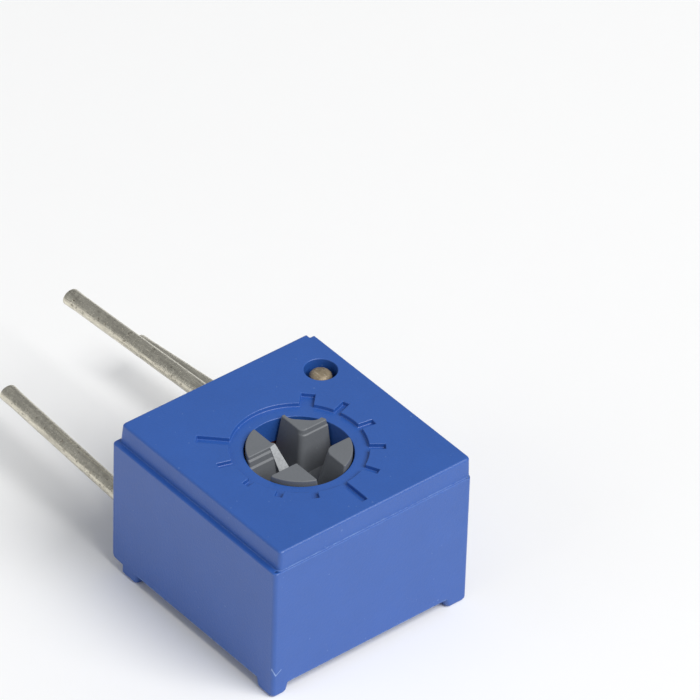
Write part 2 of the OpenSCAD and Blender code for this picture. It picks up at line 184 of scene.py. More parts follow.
def object_from(bm, name="scratch"):
    """A new object from a bmesh, with its faces turned outwards."""
    bmesh.ops.recalc_face_normals(bm, faces=bm.faces)
    mesh = bpy.data.meshes.new(name)
    bm.to_mesh(mesh)
    bm.free()
    made = bpy.data.objects.new(name, mesh)
    bpy.context.scene.collection.objects.link(made)
    return made


def loft(rings, place=None):
    """A closed solid through rings of (x, y, z) points that all have the same number of points."""
    bm = bmesh.new()
    loops = [[bm.verts.new(point) for point in ring] for ring in rings]
    bm.faces.new(loops[0][::-1])
    bm.faces.new(loops[-1])
    count = len(loops[0])
    for lower, upper in zip(loops, loops[1:]):
        for i in range(count):
            j = (i + 1) % count
            bm.faces.new((lower[i], lower[j], upper[j], upper[i]))
    if place is not None:
        bmesh.ops.transform(bm, matrix=place, verts=bm.verts)
    return object_from(bm)


AXIS_ORDER = {"X": (2, 0, 1), "Y": (1, 2, 0), "Z": (0, 1, 2)}


def prism(outline, low, high, axis="Z", place=None):
    """An outline pushed along an axis. Along X it is in (y, z), and along Y in (z, x)."""
    order = AXIS_ORDER[axis]

    def point(u, v, w):
        return tuple((u, v, w)[k] for k in order)

    return loft([[point(u, v, w) for u, v in outline] for w in (low, high)], place)


CORNER_STEPS = 5


def rectangle(x0, y0, x1, y1, radius=0.0):
    """Outline of a rectangle with rounded corners."""
    if radius <= 0:
        return [(x0, y0), (x1, y0), (x1, y1), (x0, y1)]
    corners = ((x1 - radius, y1 - radius), (x0 + radius, y1 - radius),
               (x0 + radius, y0 + radius), (x1 - radius, y0 + radius))
    return [point for k, (x, y) in enumerate(corners)
            for point in arc(x, y, radius, 90 * k, 90 * (k + 1), CORNER_STEPS)]


def arc(x, y, radius, start, end, steps):
    """Points on an arc about (x, y), with its angles in degrees."""
    turns = (math.radians(start + (end - start) * i / steps) for i in range(steps + 1))
    return [(x + radius * math.cos(a), y + radius * math.sin(a)) for a in turns]


def sector(inner, outer, start, end, steps=24):
    """Outline of part of a flat ring."""
    return arc(0, 0, outer, start, end, steps) + arc(0, 0, inner, end, start, steps)


def block(low, high):
    return prism(rectangle(low[0], low[1], high[0], high[1]), low[2], high[2])


def cylinder(x, y, radius, low, high, sides=96):
    return prism(arc(x, y, radius, 0, 360, sides)[:-1], low, high)


def turned(degrees):
    return Matrix.Rotation(math.radians(degrees), 4, "Z")


def apply(target, kind, **settings):
    """Adds a modifier with its settings and bakes it into the object's mesh."""
    step = target.modifiers.new("step", kind)
    for key, value in settings.items():
        setattr(step, key, value)
    graph = bpy.context.evaluated_depsgraph_get()
    result = bpy.data.meshes.new_from_object(target.evaluated_get(graph))
    old = target.data
    target.modifiers.clear()
    target.data = result
    bpy.data.meshes.remove(old)


def combine(base, tools, operation):
    """Joins the tools to the base, or cuts them from it, and removes them."""
    group = bpy.data.collections.new("scratch_tools")
    bpy.context.scene.collection.children.link(group)
    for tool in tools:
        group.objects.link(tool)
    apply(base, "BOOLEAN", operation=operation, solver="EXACT", operand_type="COLLECTION", collection=group)
    for tool in tools:
        mesh = tool.data
        bpy.data.objects.remove(tool)
        bpy.data.meshes.remove(mesh)
    bpy.data.collections.remove(group)
    return base


def join(base, tools):
    return combine(base, tools, "UNION")


def cut(base, tools):
    return combine(base, tools, "DIFFERENCE")


def tidy_mesh(target, gap=0.0004, flat=1.0):
    """Merges doubled corners and joins faces that lie in one plane."""
    bm = bmesh.new()
    bm.from_mesh(target.data)
    bmesh.ops.remove_doubles(bm, verts=bm.verts, dist=gap)
    bmesh.ops.dissolve_limit(bm, angle_limit=math.radians(flat), verts=bm.verts, edges=bm.edges)
    bmesh.ops.recalc_face_normals(bm, faces=bm.faces)
    bm.to_mesh(target.data)
    bm.free()


def shade_smooth(target, sharp_past=None):
    """Smooth shading that keeps flat faces flat, with hard edges past an angle where one is given."""
    for face in target.data.polygons:
        face.use_smooth = True
    if sharp_past is not None:
        target.data.set_sharp_from_angle(angle=math.radians(sharp_past))
    apply(target, "WEIGHTED_NORMAL", weight=60, keep_sharp=sharp_past is not None)


def break_edges(target, width, segments=2, sharper_than=35):
    """Rounds every edge that is sharper than an angle."""
    apply(target, "BEVEL", width=width, segments=segments, limit_method="ANGLE",
          angle_limit=math.radians(sharper_than), use_clamp_overlap=False, loop_slide=False)
    shade_smooth(target)


def keep_inside(target, low, high):
    """Brings back any corner that the edge rounding has pushed past the box."""
    for vertex in target.data.vertices:
        for k in range(3):
            vertex.co[k] = max(low[k], min(high[k], vertex.co[k]))


def finish_piece(piece, name, material, body, node):
    """Names a finished piece, brings it to metres, hides the CAD node that it stands in for and parents it to
    its body's empty.
    """
    piece.name = name
    piece.data.name = name
    piece.data.transform(Matrix.Scale(MM, 4))
    if not piece.data.materials:
        piece.data.materials.append(material)
    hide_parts(node)
    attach(piece, body)


def smooth_step(value, low, high):
    t = max(0.0, min(1.0, (value - low) / (high - low)))
    return t * t * (3 - 2 * t)


# ---- Shader tools ----

def add_node(tree, kind, inputs=None, **settings):
    """A node with its settings and its inputs. An input that is a socket is linked."""
    node = tree.nodes.new(kind)
    for key, value in settings.items():
        setattr(node, key, value)
    for key, value in (inputs or {}).items():
        if isinstance(value, bpy.types.NodeSocket):
            tree.links.new(value, node.inputs[key])
        else:
            node.inputs[key].default_value = value
    return node


def maths(tree, operation, a, b=0.0, clamp=False):
    return add_node(tree, "ShaderNodeMath", {0: a, 1: b}, operation=operation, use_clamp=clamp).outputs[0]


def times(tree, a, b, clamp=False):
    return maths(tree, "MULTIPLY", a, b, clamp)


def plus(tree, a, b, clamp=False):
    return maths(tree, "ADD", a, b, clamp)


def minus(tree, a, b):
    return maths(tree, "SUBTRACT", a, b)


def centred(tree, noisy, amount):
    """A noise value brought round zero, times an amount."""
    return times(tree, minus(tree, noisy, 0.5), amount)


def scaled(tree, colour, shade):
    return add_node(tree, "ShaderNodeVectorMath", {0: colour, 3: shade}, operation="SCALE").outputs[0]


def blend_colours(tree, factor, a, b):
    node = add_node(tree, "ShaderNodeMix", {"Factor": factor}, data_type="RGBA")
    for socket, value in ((node.inputs[6], a), (node.inputs[7], b)):
        if isinstance(value, bpy.types.NodeSocket):
            tree.links.new(value, socket)
        else:
            socket.default_value = value
    return node.outputs[2]


def remap(tree, value, low, high, to_low, to_high):
    return add_node(tree, "ShaderNodeMapRange",
                    {"Value": value, "From Min": low, "From Max": high, "To Min": to_low, "To Max": to_high},
                    clamp=True).outputs["Result"]


def real_position(tree, scale=(1, 1, 1)):
    """Place on the piece in millimetres, times a scale for each axis."""
    place = add_node(tree, "ShaderNodeTexCoord").outputs["Object"]
    return add_node(tree, "ShaderNodeVectorMath", {0: place, 1: [k / MM for k in scale]},
                    operation="MULTIPLY").outputs[0]


def noise_value(tree, place, scale, detail=2.0, roughness=0.5):
    inputs = {"Vector": place, "Scale": scale, "Detail": detail, "Roughness": roughness}
    return add_node(tree, "ShaderNodeTexNoise", inputs).outputs["Fac"]


def rgba(value):
    return (value[0], value[1], value[2], 1.0)


GROUP_SOCKETS = {"colour": "NodeSocketColor", "value": "NodeSocketFloat"}
SURFACE_OUTPUTS = [("Colour", "colour"), ("Roughness", "value"), ("Height", "value")]
MID_GREY = (0.5, 0.5, 0.5, 1.0)


def new_group(name, inputs, outputs):
    """An empty shader node group. inputs are (name, kind, default) and outputs are (name, kind)."""
    group = bpy.data.node_groups.new(name, "ShaderNodeTree")
    for label, kind, default in inputs:
        socket = group.interface.new_socket(label, in_out="INPUT", socket_type=GROUP_SOCKETS[kind])
        socket.default_value = default
    for label, kind in outputs:
        group.interface.new_socket(label, in_out="OUTPUT", socket_type=GROUP_SOCKETS[kind])
    return group, group.nodes.new("NodeGroupInput"), group.nodes.new("NodeGroupOutput")


def send(tree, out, **values):
    """Links values to a group's named outputs."""
    for label, value in values.items():
        tree.links.new(value, out.inputs[label])


def moulding_group(name):
    """Moulded surface: slow mottling, fine grain, and light and dark specks."""
    tree, given, out = new_group(
        name,
        [("Colour", "colour", MID_GREY), ("Mottle", "value", 0.1), ("Specks", "value", 0.3),
         ("Speck Colour", "colour", (1.0, 1.0, 1.0, 1.0)), ("Roughness", "value", 0.5)],
        SURFACE_OUTPUTS)
    place = real_position(tree)
    slow = noise_value(tree, place, 0.9, 3.0, 0.6)
    grain = noise_value(tree, place, 14.0, 3.0, 0.65)
    fine = noise_value(tree, place, 42.0, 2.0, 0.6)
    mottle = given.outputs["Mottle"]
    shade = plus(tree, centred(tree, slow, mottle), centred(tree, grain, times(tree, mottle, 0.9)))
    shaded = scaled(tree, given.outputs["Colour"], plus(tree, shade, 1.0))
    cells = add_node(tree, "ShaderNodeTexVoronoi", {"Vector": place, "Scale": 4.5, "Randomness": 1.0})
    speck_size = remap(tree, noise_value(tree, place, 3.1), 0.45, 0.75, 0.0, 0.16)
    speck = maths(tree, "LESS_THAN", cells.outputs["Distance"], speck_size)
    speck = times(tree, speck, given.outputs["Specks"])
    coloured = blend_colours(tree, speck, shaded, given.outputs["Speck Colour"])
    rough = plus(tree, given.outputs["Roughness"], centred(tree, grain, 0.16), clamp=True)
    height = plus(tree, times(tree, grain, 0.7), times(tree, fine, 0.3))
    height = plus(tree, height, times(tree, slow, 0.8))
    send(tree, out, Colour=coloured, Roughness=rough, Height=height)
    return tree


# The case's middle lies this far from the axis towards the leads.
CASE_MIDDLE_Y = 0.3


def worn_and_highlit_edge_group(name):
    """Mask of the edges painted lighter, partly as rubbed wear and partly as a painted highlight, past a
    reach from the middle in millimetres.
    """
    tree, given, out = new_group(
        name, [("Width", "value", 0.05), ("Amount", "value", 0.5), ("Reach", "value", 0.0)],
        [("Mask", "value")])
    radius = times(tree, given.outputs["Width"], MM)
    rounded = add_node(tree, "ShaderNodeBevel", {"Radius": radius}, samples=8)
    flat = add_node(tree, "ShaderNodeNewGeometry")
    facing = add_node(tree, "ShaderNodeVectorMath",
                      {0: rounded.outputs["Normal"], 1: flat.outputs["True Normal"]}, operation="DOT_PRODUCT")
    edge = remap(tree, facing.outputs["Value"], 0.985, 0.80, 0.0, 1.0)
    place = real_position(tree)
    patchy = remap(tree, noise_value(tree, place, 6.0, 3.0, 0.7), 0.42, 0.62, 0.15, 1.0)
    plan = add_node(tree, "ShaderNodeSeparateXYZ", {0: place})
    out_x = maths(tree, "ABSOLUTE", plan.outputs["X"])
    out_y = maths(tree, "ABSOLUTE", minus(tree, plan.outputs["Y"], CASE_MIDDLE_Y))
    past = maths(tree, "GREATER_THAN", maths(tree, "MAXIMUM", out_x, out_y), given.outputs["Reach"])
    mask = times(tree, times(tree, edge, patchy), given.outputs["Amount"], clamp=True)
    send(tree, out, Mask=times(tree, mask, past))
    return tree


def metal_group(name):
    """Dull plated metal: drawn streaks along one way, small dark pits and bright scuffs."""
    tree, given, out = new_group(
        name,
        [("Colour", "colour", MID_GREY), ("Pit Colour", "colour", (0.1, 0.09, 0.07, 1.0)),
         ("Pits", "value", 0.5), ("Roughness", "value", 0.4)],
        SURFACE_OUTPUTS)
    along = real_position(tree, (9.0, 0.9, 9.0))
    even = real_position(tree)
    streak = noise_value(tree, along, 1.3, 4.0, 0.65)
    grain = noise_value(tree, even, 9.0, 5.0, 0.8)
    pit = remap(tree, noise_value(tree, even, 8.0, 4.0, 0.75), 0.585, 0.66, 0.0, 1.0)
    scuff = remap(tree, noise_value(tree, along, 2.6, 3.0, 0.7), 0.60, 0.72, 0.0, 1.0)
    shade = remap(tree, plus(tree, streak, times(tree, grain, 0.7)), 0.64, 1.06, 0.70, 1.22)
    base = scaled(tree, given.outputs["Colour"], shade)
    pitted = blend_colours(tree, times(tree, pit, given.outputs["Pits"]), base, given.outputs["Pit Colour"])
    bright = blend_colours(tree, times(tree, scuff, 0.35), pitted, (0.80, 0.78, 0.72, 1.0))
    rough = plus(tree, given.outputs["Roughness"], centred(tree, grain, 0.35), clamp=True)
    height = plus(tree, times(tree, streak, 0.5), times(tree, grain, 0.6))
    height = minus(tree, height, times(tree, pit, 0.5))
    send(tree, out, Colour=bright, Roughness=rough, Height=height)
    return tree


GROUP_BUILDERS = {"Moulded Surface": moulding_group, "Rubbed Edges": worn_and_highlit_edge_group, "Plated Metal": metal_group}


def place_group(tree, name, **inputs):
    """A node for a shared group, which is built the first time that it is asked for."""
    node = tree.nodes.new("ShaderNodeGroup")
    node.node_tree = bpy.data.node_groups.get(name) or GROUP_BUILDERS[name](name)
    for key, value in inputs.items():
        node.inputs[key.replace("_", " ")].default_value = value
    return node


def new_material(name):
    material = bpy.data.materials.new(name)
    material.use_nodes = True
    tree = material.node_tree
    return material, tree, tree.nodes["Principled BSDF"]


def use_surface(tree, shader, surface, shown, bump):
    """Links a surface group to the shader. The bump's depth is in millimetres."""
    raised = add_node(tree, "ShaderNodeBump",
                      {"Strength": 1.0, "Distance": bump * MM, "Height": surface.outputs["Height"]})
    tree.links.new(shown, shader.inputs["Base Color"])
    tree.links.new(surface.outputs["Roughness"], shader.inputs["Roughness"])
    tree.links.new(raised.outputs["Normal"], shader.inputs["Normal"])


def moulded_plastic(name, base, mottle, specks, speck_colour, roughness, bump, specular=0.5,
                    edge=0.0, edge_colour=None, edge_width=0.05, edge_reach=0.0):
    """Moulded plastic with specks and, where asked, edges painted lighter, partly as rubbed wear and partly
    as a painted highlight.
    """
    material, tree, shader = new_material(name)
    surface = place_group(tree, "Moulded Surface", Colour=rgba(base), Mottle=mottle, Specks=specks,
                          Speck_Colour=rgba(speck_colour), Roughness=roughness)
    shown = surface.outputs["Colour"]
    if edge > 0:
        # Edges painted lighter: partly rubbed wear, partly a painted highlight.
        worn = place_group(tree, "Rubbed Edges", Width=edge_width, Amount=edge, Reach=edge_reach)
        shown = blend_colours(tree, worn.outputs["Mask"], shown, rgba(edge_colour))
    shader.inputs["Specular IOR Level"].default_value = specular
    use_surface(tree, shader, surface, shown, bump)
    return material


def plated_metal(name, base, pit_colour, pits, roughness, bump, metallic=1.0):
    """Plated metal with pits. Less than fully metallic is dulled by dirt."""
    material, tree, shader = new_material(name)
    surface = place_group(tree, "Plated Metal", Colour=rgba(base), Pit_Colour=rgba(pit_colour), Pits=pits,
                          Roughness=roughness)
    shader.inputs["Metallic"].default_value = metallic
    use_surface(tree, shader, surface, surface.outputs["Colour"], bump)
    return material


def segment_distance(tree, x, z, start, end):
    """Distance from a place on the front face to a short line, in millimetres."""
    run = (end[0] - start[0], end[1] - start[1])
    square = run[0] ** 2 + run[1] ** 2
    dx, dz = minus(tree, x, start[0]), minus(tree, z, start[1])
    along = plus(tree, times(tree, dx, run[0] / square), times(tree, dz, run[1] / square), clamp=True)
    ox, oz = minus(tree, dx, times(tree, along, run[0])), minus(tree, dz, times(tree, along, run[1]))
    return maths(tree, "SQRT", plus(tree, times(tree, ox, ox), times(tree, oz, oz)))


def add_scratch(material, points, width, colour):
    """A pale scratch on the front face, through (x, z) points."""
    tree = material.node_tree
    shader = tree.nodes["Principled BSDF"]
    place = real_position(tree)
    split = add_node(tree, "ShaderNodeSeparateXYZ", {0: place})
    x, y, z = (split.outputs[k] for k in "XYZ")
    away = None
    for start, end in zip(points, points[1:]):
        one = segment_distance(tree, x, z, start, end)
        away = one if away is None else maths(tree, "MINIMUM", away, one)
    ragged = plus(tree, away, times(tree, noise_value(tree, place, 9.0), 0.03))
    line = remap(tree, ragged, width * 0.6, width * 1.6, 1.0, 0.0)
    just_behind_front = -3.1
    mask = times(tree, line, maths(tree, "LESS_THAN", y, just_behind_front))
    old = shader.inputs["Base Color"].links[0].from_socket
    tree.links.new(blend_colours(tree, mask, old, rgba(colour)), shader.inputs["Base Color"])


# ---- Case ----

# Where the leads' upright ends stand.
RISER_Y = 2.22
# From the element's underside down to the outer leads.
LEAD_DROP = 0.37
# How far joined shapes run into each other, and how far cutters run past a surface.
OVERLAP = 0.05
PAST = 1.0
PANEL_SINK = 0.20
# Numbers of the scale's shortest marks.
NEAR_MARKS = (2, 3, 4)


def quarter_round(radius, steps=4):
    """(rise, inset) pairs of a rounded upper edge."""
    turns = (math.radians(90 * i / steps) for i in range(steps + 1))
    return [(radius * math.sin(a), radius * (1 - math.cos(a))) for a in turns]


def case_body(s, low, high, ledge):
    """The main block, from over the feet to the ledge, with its upper edge a little rounded."""
    soft = 0.04
    rings = [(s.foot_height, 0.0)]
    rings += [(ledge - soft + rise, inset) for rise, inset in quarter_round(soft)]
    return loft([[(x, y, z) for x, y in rectangle(low.x + e, low.y + e, high.x - e, high.y - e, s.corner)]
                 for z, e in rings])


def stepped_corner(x, y, size, radius=0.025):
    """Points round a square notch in the corner at (x, y), with its three edges a little rounded."""
    middle = radius + size
    return (arc(x - radius, y - middle, radius, 0, 90, 3)
            + arc(x - size + radius, y - size + radius, radius, 270, 180, 3)
            + arc(x - middle, y - radius, radius, 0, 90, 3))


def case_plate(s, low, high, ledge):
    """The raised plate, with leaning sides on the left, the front and the lead side."""
    rings = [(ledge - 2 * OVERLAP, 0.0)]
    rings += [(high.z - s.rounding + rise, inset) for rise, inset in quarter_round(s.rounding)]
    levels = []
    for z, e in rings:
        lean = max(0.0, z - ledge) / s.plate_height
        x0 = low.x + s.left_step + s.draft * lean + e
        y0 = low.y + s.front_step + s.draft / 2 * lean + e
        x1 = high.x - e
        y1 = high.y - s.lead_step - s.draft / 2 * lean - e
        plain_corners = rectangle(x0, y0, x1, y1, s.corner)[CORNER_STEPS + 1:]
        levels.append([(x, y, z) for x, y in stepped_corner(x1, y1, s.notch) + plain_corners])
    return loft(levels)


def case_feet(s, low, high):
    """Four feet, whose inner flanks lean out towards the case."""
    root = s.foot_height + 0.06
    lean = 0.09
    tip = 0.09

    def foot(x0, y0, x1, y1, grow_x, grow_y):
        wide = rectangle(min(x0, x0 + grow_x), min(y0, y0 + grow_y),
                         max(x1, x1 + grow_x), max(y1, y1 + grow_y), s.corner)
        narrow = rectangle(x0, y0, x1, y1, s.corner)
        point = rectangle(x0 + tip / 2, y0 + tip / 2, x1 - tip / 2, y1 - tip / 2, s.corner)
        return loft([[(x, y, z) for x, y in ring] for ring, z in ((point, 0.0), (narrow, tip), (wide, root))])

    w, l = s.foot_width, s.foot_length
    back = high.y - s.foot_setback
    return [foot(low.x, low.y, low.x + w, low.y + l, lean, lean),
            foot(high.x - l, low.y, high.x, low.y + w, -lean, lean),
            foot(low.x, back - l, low.x + w, back, lean, -lean),
            foot(high.x - w, back - l, high.x, back, -lean, -lean)]


def scale_cutters(s, top):
    """The sunk ring and its marks."""
    floor = top - s.ring_depth
    inner = s.ring - 0.2
    start = 90 + (360 - s.travel) / 2
    last = s.tick_count - 1
    widths = {0: s.first_tick_width, last: s.end_tick_width}
    reaches = {0: s.long_tick_reach, last // 2: s.long_tick_reach}
    reaches.update({i: s.near_tick_reach for i in NEAR_MARKS})
    tools = [cylinder(0, 0, s.ring, floor, top + PAST, 128)]
    for i in range(s.tick_count):
        half = widths.get(i, s.tick_width) / 2
        mark = rectangle(inner, -half, reaches.get(i, s.tick_reach), half)
        tools.append(prism(mark, floor, top + PAST, place=turned(start + i * s.travel / last)))
    return tools


def slot_outline(x, half, bottom, top):
    """Outline, in (z, x), of a lead slot with a round end."""
    return [(bottom, x - half)] + arc(top, x, half, -90, 90, 16) + [(bottom, x + half)]


def lead_places(leads):
    """Name, x and exit height of each lead."""
    outer_z = box_mm("element")[0].z - LEAD_DROP
    return [("lead_left", -leads.pitch, outer_z), ("lead_middle", 0.0, outer_z + leads.pitch),
            ("lead_right", leads.pitch, outer_z)]


def joint_cutters(leads, ceiling):
    """Room over each solder joint, and over the conductors that run to the outer ones."""
    socket, socket_height = 0.42, 0.38
    half_width, relief = 0.35, 0.08
    tools = [cylinder(x, RISER_Y, socket, ceiling - OVERLAP, ceiling + socket_height, 32)
             for x in (-leads.pitch, 0, leads.pitch)]
    bearing = math.degrees(math.atan2(RISER_Y, leads.pitch))
    strip = rectangle(0, -half_width, math.hypot(RISER_Y, leads.pitch), half_width)
    for a in (bearing, 180 - bearing):
        tools.append(prism(strip, ceiling - OVERLAP, ceiling + relief, place=turned(a)))
    return tools


def lead_face_cutters(s, leads, low, high, ledge):
    """Two sunk panels, a deep groove and the chamfer along the lower edge of the lead face."""
    _, pitch, lead_z = lead_places(leads)[2]
    outer_edge, inner_edge, rib_edge = 0.32, 0.58, 0.15
    groove_sink, groove_from, groove_to = 0.35, 1.04, 0.87
    cuts = [(-pitch - outer_edge, -pitch + inner_edge, PANEL_SINK, lead_z),
            (pitch - rib_edge, pitch + outer_edge, PANEL_SINK, lead_z),
            (pitch - groove_from, pitch - groove_to, groove_sink, s.foot_height - PAST)]
    tools = [block((x0, high.y - sink, z), (x1, high.y + PAST, ledge)) for x0, x1, sink, z in cuts]
    chamfer = 0.14
    under = s.foot_height - 0.01
    wedge = [(high.y - chamfer, under), (high.y + PAST, under),
             (high.y + PAST, s.foot_height + PAST + chamfer), (high.y, s.foot_height + chamfer)]
    tools.append(prism(wedge, low.x - PAST, high.x + PAST, axis="X"))
    return tools


def case_cutters(s, leads, low, high, ledge):
    """Everything that is cut from the case."""
    ceiling = box_mm("element")[1].z
    roof = high.z - s.roof
    pocket_back = high.y - s.lead_wall
    wall = s.side_wall
    tools = scale_cutters(s, high.z)
    tools += [cylinder(0, 0, s.bore, roof - 2 * OVERLAP, high.z + PAST, 128),
              cylinder(0, 0, s.cavity, ceiling - OVERLAP, roof, 96),
              block((low.x + wall, low.y + wall, -PAST), (high.x - wall, pocket_back, ceiling)),
              cylinder(leads.pitch, RISER_Y, s.sight_hole, ceiling - OVERLAP, high.z + PAST, 48)]
    tools += joint_cutters(leads, ceiling)
    half = leads.radius + s.slot_side
    tools += [prism(slot_outline(x, half, -PAST, z), pocket_back - OVERLAP, high.y + PAST, axis="Y")
              for _, x, z in lead_places(leads)]
    return tools + lead_face_cutters(s, leads, low, high, ledge)


def stop_rib(s, high):
    """The rib under the roof that the rotor's lug meets at each end of its travel."""
    inner, start, end, rise = 2.20, 65, 115, 0.38
    low_z = box_mm("element")[1].z + rise
    return prism(sector(inner, s.cavity + OVERLAP, start, end), low_z, high.z - s.roof + OVERLAP)


def build_case(s, leads, material):
    low, high = box_mm("housing")
    ledge = high.z - s.plate_height
    case = join(case_body(s, low, high, ledge), [case_plate(s, low, high, ledge)] + case_feet(s, low, high))
    cut(case, case_cutters(s, leads, low, high, ledge))
    join(case, [stop_rib(s, high)])
    tidy_mesh(case)
    break_edges(case, s.edge_break)
    keep_inside(case, low, high)
    finish_piece(case, "case", material, "case", "housing")


# ---- Adjuster ----

# Depths at which a lobe's outline is drawn, from its foot up.
LEVELS = (1.37, 1.30, 1.05, 0.80, 0.60, 0.45, 0.34, 0.30, 0.17, 0.14, 0.10, 0.07)
# Radius of each lobe's corner next to the axis, from the notched lobe round.
CORNER_ROUNDS = (0.17, 0.06, 0.05, 0.30)
OUTER_ROUND = 0.045
WORN_LOBE = 1


def slot_flanks(s, depth):
    """Offsets of the cross slot's eight flanks at a depth, as one (first, second) pair for each lobe.

    The lobes go round from the notched one, and the first flank is the one met first."""
    part = min(1.0, depth / s.slot_depth)
    step = 0.045
    line = 0.03
    plain = s.slot_half - s.slot_narrowing * part
    stepped = s.slot_half + 0.02 - (s.slot_narrowing - 0.06) * part
    stepped -= step * (smooth_step(depth, 0.10, 0.14) + smooth_step(depth, 0.30, 0.34))
    lined = s.slot_half + 0.01 - (s.slot_narrowing - 0.02) * part - line * smooth_step(depth, 0.14, 0.17)
    return [(lined, plain), (plain, stepped), (plain, plain), (plain, plain)]


def inner_corner(lobe_number, first, second, depth, inset):
    """A lobe's corner next to the axis. One lobe has a worn facet there, which leans out with depth."""
    if lobe_number == WORN_LOBE:
        leaning = max(0.15, 0.476 - 0.384 * depth) + inset
        facet = min(second - 0.004, leaning)
        out = 0.05 + 0.20 * min(depth, 0.9)
        return [(second, first + 0.17), (facet, first + 0.15),
                (facet + 0.05, first - out), (second + 0.12, first)]
    r = CORNER_ROUNDS[lobe_number] - inset
    return arc(second + r, first + r, r, 180, 270, 8)


def notch_pocket(s, top):
    """Cutter for the notch, which leaves a horn on each side of it."""
    half = s.notch_half
    tip = math.sqrt(s.head ** 2 - half ** 2)
    outer = s.head + 0.3
    steps = 24
    outline = [(outer, -half), (outer, half)]
    for i in range(steps + 1):
        across = half * math.cos(math.pi * i / steps)
        outline.append((s.notch_reach + (tip - s.notch_reach) * abs(across / half) ** 5, across))
    return prism(outline, top - s.notch_depth, top + PAST, place=turned(s.notch_angle))


def lobe_outline(s, lobe_number, depth, inset):
    """Outline of one lobe at a depth, in its own quarter, drawn in by an inset."""
    first, second = (flank + inset for flank in slot_flanks(s, depth)[lobe_number])
    outer = s.head - inset
    q = OUTER_ROUND - inset
    x_end = math.sqrt((outer - q) ** 2 - (first + q) ** 2)
    y_end = math.sqrt((outer - q) ** 2 - (second + q) ** 2)
    low = math.degrees(math.atan2(first + q, x_end))
    high = math.degrees(math.atan2(y_end, second + q))
    outline = inner_corner(lobe_number, first, second, depth, inset)
    outline += arc(x_end, first + q, q, -90, low, 4)
    outline += arc(0, 0, outer, low, high, 24)[1:-1]
    outline += arc(second + q, y_end, q, high, 180, 4)
    return outline


def lobe(s, lobe_number, top):
    """One lobe, from inside the flange up to its rounded upper edges."""
    rings = [(depth, 0.0) for depth in LEVELS]
    rings += [(s.top_round - rise, inset) for rise, inset in quarter_round(s.top_round)]
    return loft([[(x, y, top - depth) for x, y in lobe_outline(s, lobe_number, depth, inset)]
                 for depth, inset in rings], turned(90 * lobe_number))


def build_adjuster(s, material, worn):
    low, high = box_mm("rotor")
    flange_low = box_mm("wiper")[1].z
    flange_high = flange_low + s.flange_thickness
    floor = high.z - s.slot_depth
    lug_middle, lug_root = 270, 0.3
    lug = sector(s.flange - lug_root, s.flange + s.lug_reach, lug_middle - s.lug_angle / 2,
                 lug_middle + s.lug_angle / 2, 12)
    post_offset, post_radius = 0.62, 0.14
    hub_radius = s.head - 0.03
    rotor = cylinder(0, 0, s.flange, flange_low, flange_high, 128)
    posts = [cylinder(x, 0, post_radius, low.z, flange_low + 2 * OVERLAP, 24)
             for x in (-post_offset, post_offset)]
    join(rotor, [prism(lug, flange_low, flange_high)] + posts)
    hub = cylinder(0, 0, hub_radius, flange_high - 2 * OVERLAP, floor, 96)
    notched = cut(lobe(s, 0, high.z), [notch_pocket(s, high.z)])
    join(rotor, [hub, notched] + [lobe(s, number, high.z) for number in (1, 2, 3)])
    rotor.data.materials.clear()
    rotor.data.materials.append(material)
    rotor.data.materials.append(worn)
    # Faces of the worn facet take the second material, a lighter colour that is partly wear and partly a
    # painted highlight.
    for face in rotor.data.polygons:
        on_facet = 0.08 < face.normal.x < 0.5 and face.normal.y < -0.8
        face.material_index = 1 if on_facet and face.center.x < 0 < face.center.y else 0
    shade_smooth(rotor, sharp_past=32)
    finish_piece(rotor, "rotor_detail", material, "adjuster", "rotor")


# ---- Leads ----

# How far each lead leans sideways and upwards, in degrees.
LEANS = {"lead_left": (1.8, 1.0), "lead_middle": (-1.8, -1.3), "lead_right": (-3.5, -3.2)}
# The right lead's rounded top: its height, how far it rises past the wire's end, and its tarnished length.
DOME_RISE = 0.17
DOME_LIFT = 0.10
TARNISHED = 0.5
# A cap's middle stands this many times as high as its edge ring.
CAP_PEAK = 1.05
# From the element's face to the top of a soldered end.
SOLDER_RISE = 0.17
# Room that a cut end's cap takes from the free length.
CAP_ROOM = 0.03


def rounded_path(corners, radii, spacing=0.11):
    """Points along a line through the corners, with an arc of the given radius at each inner corner."""
    corners = [Vector(c) for c in corners]
    points = [corners[0]]
    for before, corner, after, radius in zip(corners, corners[1:], corners[2:], radii):
        way_in = (corner - before).normalized()
        way_out = (after - corner).normalized()
        turn = way_in.angle(way_out)
        reach = radius * math.tan(turn / 2)
        start = corner - way_in * reach
        inward = (way_out - way_in * way_out.dot(way_in)).normalized()
        middle = start + inward * radius
        add_run(points, start, spacing)
        steps = max(3, int(math.degrees(turn) / 11))
        for i in range(1, steps + 1):
            a = turn * i / steps
            points.append(middle + way_in * radius * math.sin(a) - inward * radius * math.cos(a))
    add_run(points, corners[-1], spacing)
    return points


def add_run(points, end, spacing):
    """Adds evenly spaced points from the last one to the end."""
    start = points[-1]
    count = max(1, round((end - start).length / spacing))
    points += [start.lerp(end, i / count) for i in range(1, count + 1)]


def wire_rings(points, radius, sides=28):
    """Rings round a path, carried along it without twist, with slight unevenness."""
    rings = []
    across = Vector((1, 0, 0))
    for i, here in enumerate(points):
        ahead = points[min(i + 1, len(points) - 1)] - points[max(i - 1, 0)]
        ahead.normalize()
        across = (across - ahead * across.dot(ahead)).normalized()
        beside = ahead.cross(across)
        ring = []
        for k in range(sides):
            a = 2 * math.pi * k / sides
            out = across * math.cos(a) + beside * math.sin(a)
            spot = here + out * radius
            uneven = 0.004 * noise.noise(spot * 1.3) + 0.003 * noise.noise(spot * 6.0)
            ring.append(here + out * (radius + uneven))
        rings.append(ring)
    return rings


def centre(ring):
    return sum(ring, Vector()) / len(ring)


